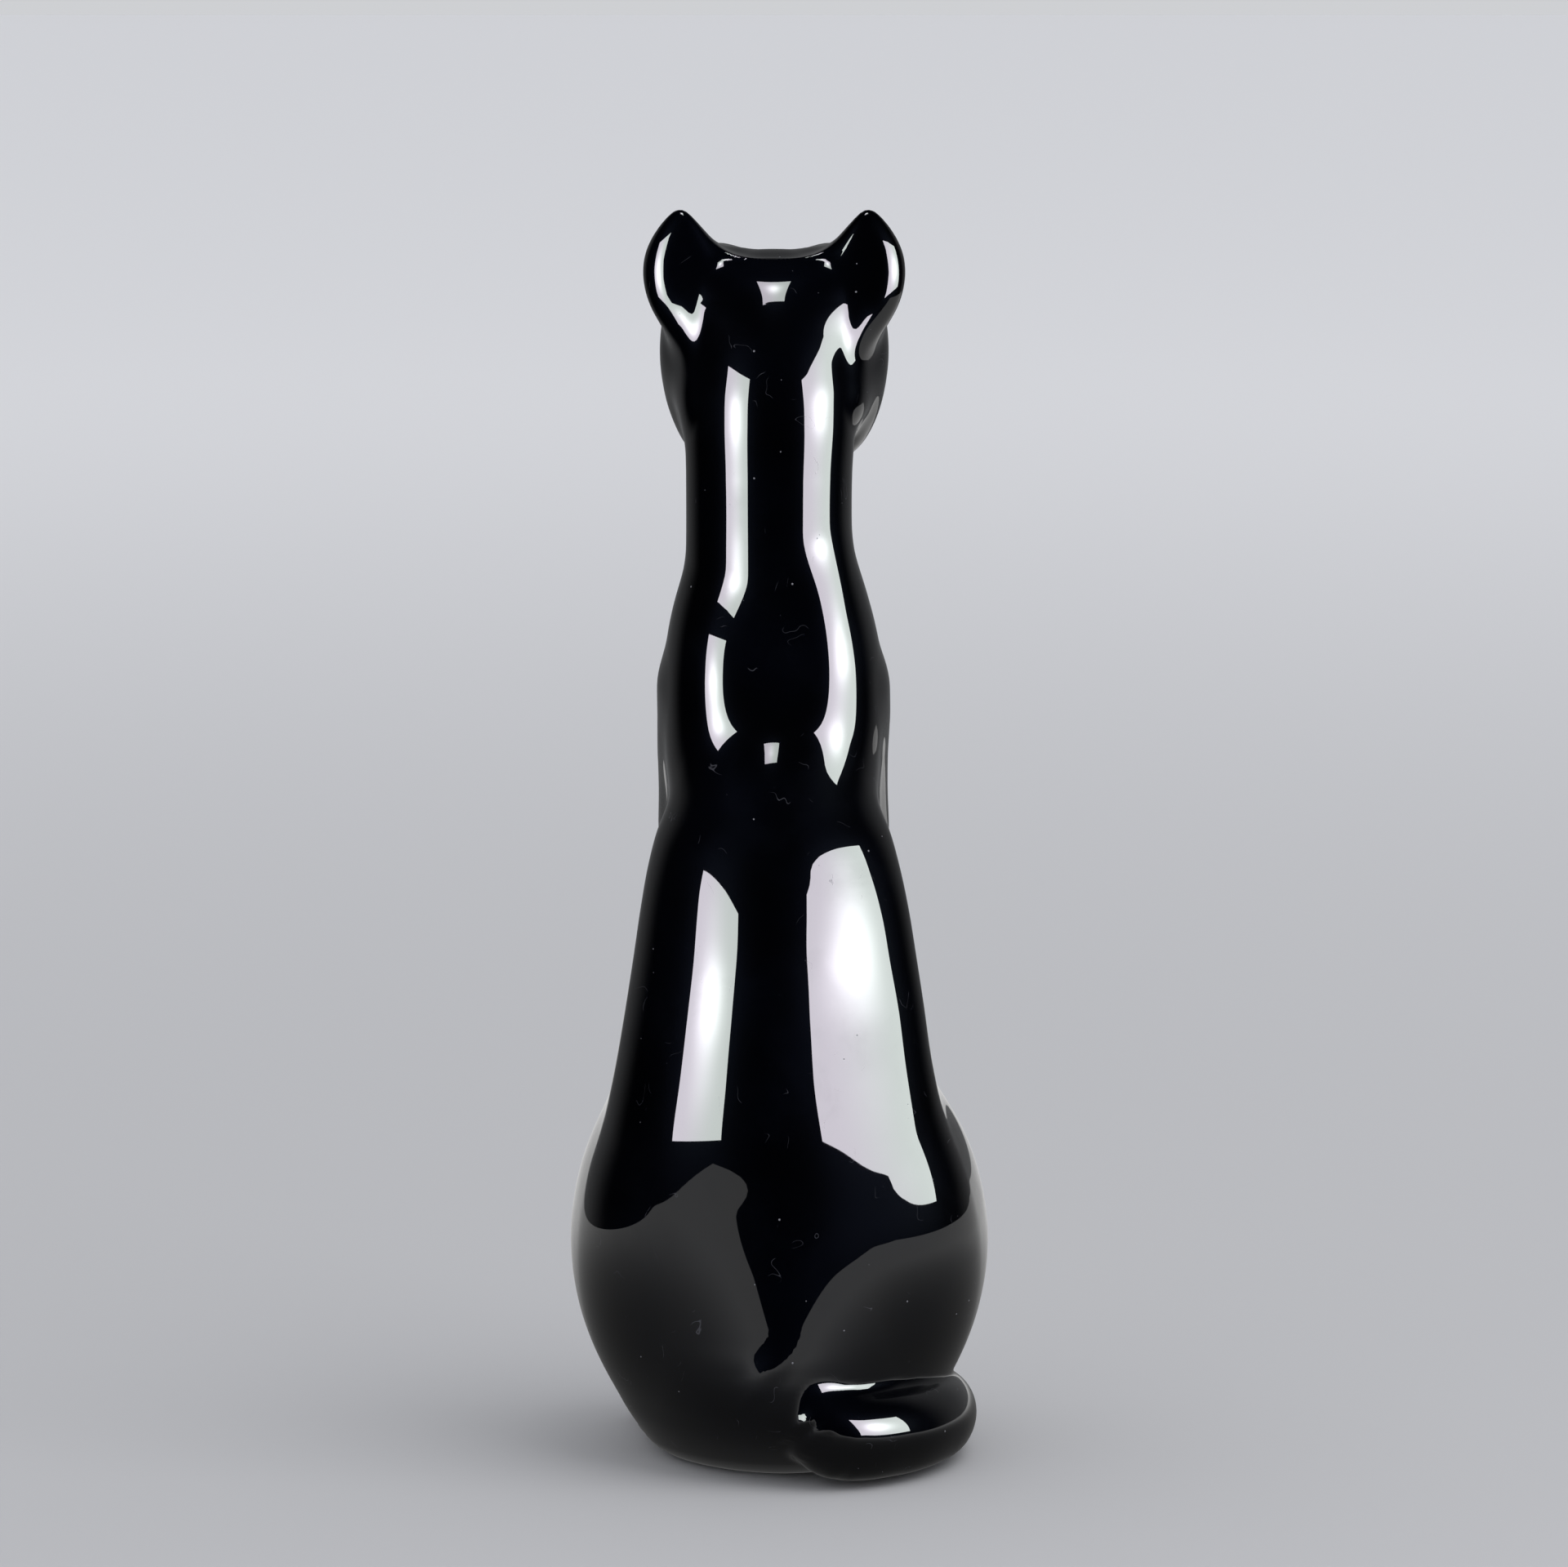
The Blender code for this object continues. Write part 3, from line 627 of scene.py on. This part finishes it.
def away(tree, near, far):
    # 0 to 1 with the distance from the figure's foot
    start = Wire(tree)
    place = start.node("TexCoord", {}, {}, "Object")
    return start.node("VectorMath", {"operation": "LENGTH"}, {0: place}, "Value").between(near, far)


def paleTable():
    # the seen floor is matt and pale, with painted shade: its colour darkens towards the figure's foot.
    # The polish mirrors no floor but a glowing sheet, a painted reflection of a lit stretch of table that
    # ends before the camera, painted darker near the foot as its shadow
    half = table["half"]
    floor = levelSheet("floor", (-half, -half), (half, half), 0.0)
    matt = bpy.data.materials.new("paleTable")
    matt.use_nodes = True
    shader = matt.node_tree.nodes["Principled BSDF"]
    shader.inputs["Roughness"].default_value = table["roughness"]
    shader.inputs["Specular IOR Level"].default_value = table["specularLevel"]
    # painted shade: the floor's colour runs from the darker near colour at the figure's foot to the pale
    # far colour
    away(matt.node_tree, *table["fade"]).mixed(table["near"], table["far"]).into(shader, "Base Color")
    floor.data.materials.append(matt)
    floor.visible_glossy = False

    # a glowing sheet that is no lamp, seen only in the polish: a painted reflection of a lit table, with
    # its glow painted darker near the figure's foot as the table's shadow
    mirrorTable = levelSheet("mirroredTable", table["glowLow"], table["glowHigh"], table["glowHeight"])
    lit = bpy.data.materials.new("glowingTableReflection")
    lit.use_nodes = True
    shader = lit.node_tree.nodes["Principled BSDF"]
    shader.inputs["Base Color"].default_value = (0, 0, 0, 1)
    shader.inputs["Specular IOR Level"].default_value = 0
    shader.inputs["Emission Strength"].default_value = table["glow"]
    # painted shadow: the glow's colour runs from dim at the figure's foot to white further out
    shaded = away(lit.node_tree, *table["glowShade"])
    shaded.mixed(table["glowNear"], table["glowFar"]).into(shader, "Emission Color")
    mirrorTable.data.materials.append(lit)
    mirrorTable.visible_camera = False
    mirrorTable.visible_diffuse = False
    mirrorTable.visible_shadow = False


paleTable()
print("table set")


softboxes = {  # azimuth from +Y towards +X, elevation, distance from the aim, width and height
    "leftBox": {"azimuth": 42.6, "elevation": 11.9, "distance": 0.563, "size": (0.288, 0.340),
                "radiance": 18.0},
    "rightBox": {"azimuth": -61, "elevation": 13.4, "distance": 0.563, "size": (0.467, 0.300),
                 "radiance": 18.0},
    "topBox": {"azimuth": 0, "elevation": 62, "distance": 1.0, "size": (0.300, 0.250), "radiance": 14.0},
}
cloth = {  # what the boxes share: brightness at the edge and what the middle adds, its reach, tints
    "edge": 0.6, "middle": 0.8, "reach": 0.25, "aim": (0, 0, 0.06), "wattsPerRadiance": 4,
    "warm": (0.95, 0.90, 1.0, 1), "cool": (0.86, 0.93, 0.90, 1), "tintSpan": (0.1, 0.9),
}
roomLamp = {"place": (-0.55, 0.35, 1.10), "size": 0.9, "watts": 4.5, "aim": (0, 0, 0.03)}


def lampAt(name, place, aim, size, energy):
    # a rectangular lamp that looks at the aim
    light = bpy.data.lights.new(name, "AREA")
    light.shape = "RECTANGLE"
    light.size, light.size_y = size
    light.energy = energy
    lamp = bpy.data.objects.new(name, light)
    bpy.context.scene.collection.objects.link(lamp)
    lamp.location = place
    lamp.rotation_euler = (Vector(place) - Vector(aim)).to_track_quat("Z", "Y").to_euler()
    return lamp


def direction(azimuth, elevation):
    # the unit vector turned from +Y towards +X and lifted
    turn, lift = math.radians(azimuth), math.radians(elevation)
    return Vector((math.sin(turn) * math.cos(lift), math.cos(turn) * math.cos(lift), math.sin(lift)))


def softbox(name, box):
    # seen only in the polish: its brightness is an edge value plus a bell curve over the cloth
    aim = Vector(cloth["aim"])
    place = aim + direction(box["azimuth"], box["elevation"]) * box["distance"]
    width, height = box["size"]
    watts = cloth["wattsPerRadiance"] * box["radiance"] * width * height
    lamp = lampAt(name, place, aim, box["size"], watts)
    lamp.visible_diffuse = False
    lamp.data.use_nodes = True
    tree = lamp.data.node_tree
    start = Wire(tree)
    spot = start.node("NewGeometry", {}, {}, "Parametric")
    across = start.node("SeparateXYZ", {}, {0: spot}, "X")
    sideways, upwards = across - 0.5, across.beside("Y") - 0.5
    fall = (sideways * sideways + upwards * upwards) * (-1 / cloth["reach"] ** 2)
    strength = start.maths("EXPONENT", fall) * cloth["middle"] + cloth["edge"]
    strength.into(tree.nodes["Emission"], "Strength")
    tint = across.between(*cloth["tintSpan"]).mixed(cloth["warm"], cloth["cool"])
    tint.into(tree.nodes["Emission"], "Color")


for name, box in softboxes.items():
    softbox(name, box)
lamp = lampAt("roomLamp", roomLamp["place"], roomLamp["aim"], (roomLamp["size"],) * 2, roomLamp["watts"])
lamp.visible_glossy = False

# the seen colour, strengths on the table and in the polish, and the two ends of the fade along y
sky = {"seen": (0.62, 0.63, 0.65, 1), "lit": 1.22, "mirrored": 0.24, "dark": -0.20, "pale": -0.70}


def studioSky():
    # the seen backdrop is even; in the polish it is dark on the +Y side and pale on the -Y side
    world = bpy.data.worlds.new("studio")
    bpy.context.scene.world = world
    world.use_nodes = True
    start = Wire(world.node_tree)
    way = start.node("TexCoord", {}, {}, "Generated")
    along = start.node("SeparateXYZ", {}, {0: way}, "Y")
    ray = start.node("LightPath", {}, {}, "Is Glossy Ray")
    inPolish = along.between(sky["dark"], sky["pale"]) * sky["mirrored"]
    plain = ray.beside("Is Camera Ray") * (1 - sky["lit"]) + sky["lit"]
    strength = ray * inPolish + (1 - ray) * plain
    background = world.node_tree.nodes["Background"]
    background.inputs["Color"].default_value = sky["seen"]
    strength.into(background, "Strength")


studioSky()
print("lights on")

view = {
    "azimuth": 0.0, "elevation": 8.0, "distance": 1.05, "aim": (-0.0006, 0.0, 0.0862), "across": 0.201,
    "clipStart": 0.05,
}


def placeCamera():
    # level with the back, a little above it, from the +Y side
    camera = bpy.data.cameras.new("camera")
    eye = bpy.data.objects.new("camera", camera)
    bpy.context.scene.collection.objects.link(eye)
    back = direction(view["azimuth"], view["elevation"])
    eye.location = Vector(view["aim"]) + back * view["distance"]
    eye.rotation_euler = back.to_track_quat("Z", "Y").to_euler()
    camera.lens = camera.sensor_width * view["distance"] / view["across"]
    camera.clip_start = view["clipStart"]
    bpy.context.scene.camera = eye
    bpy.context.scene.view_settings.view_transform = "Standard"


placeCamera()
print("camera placed")
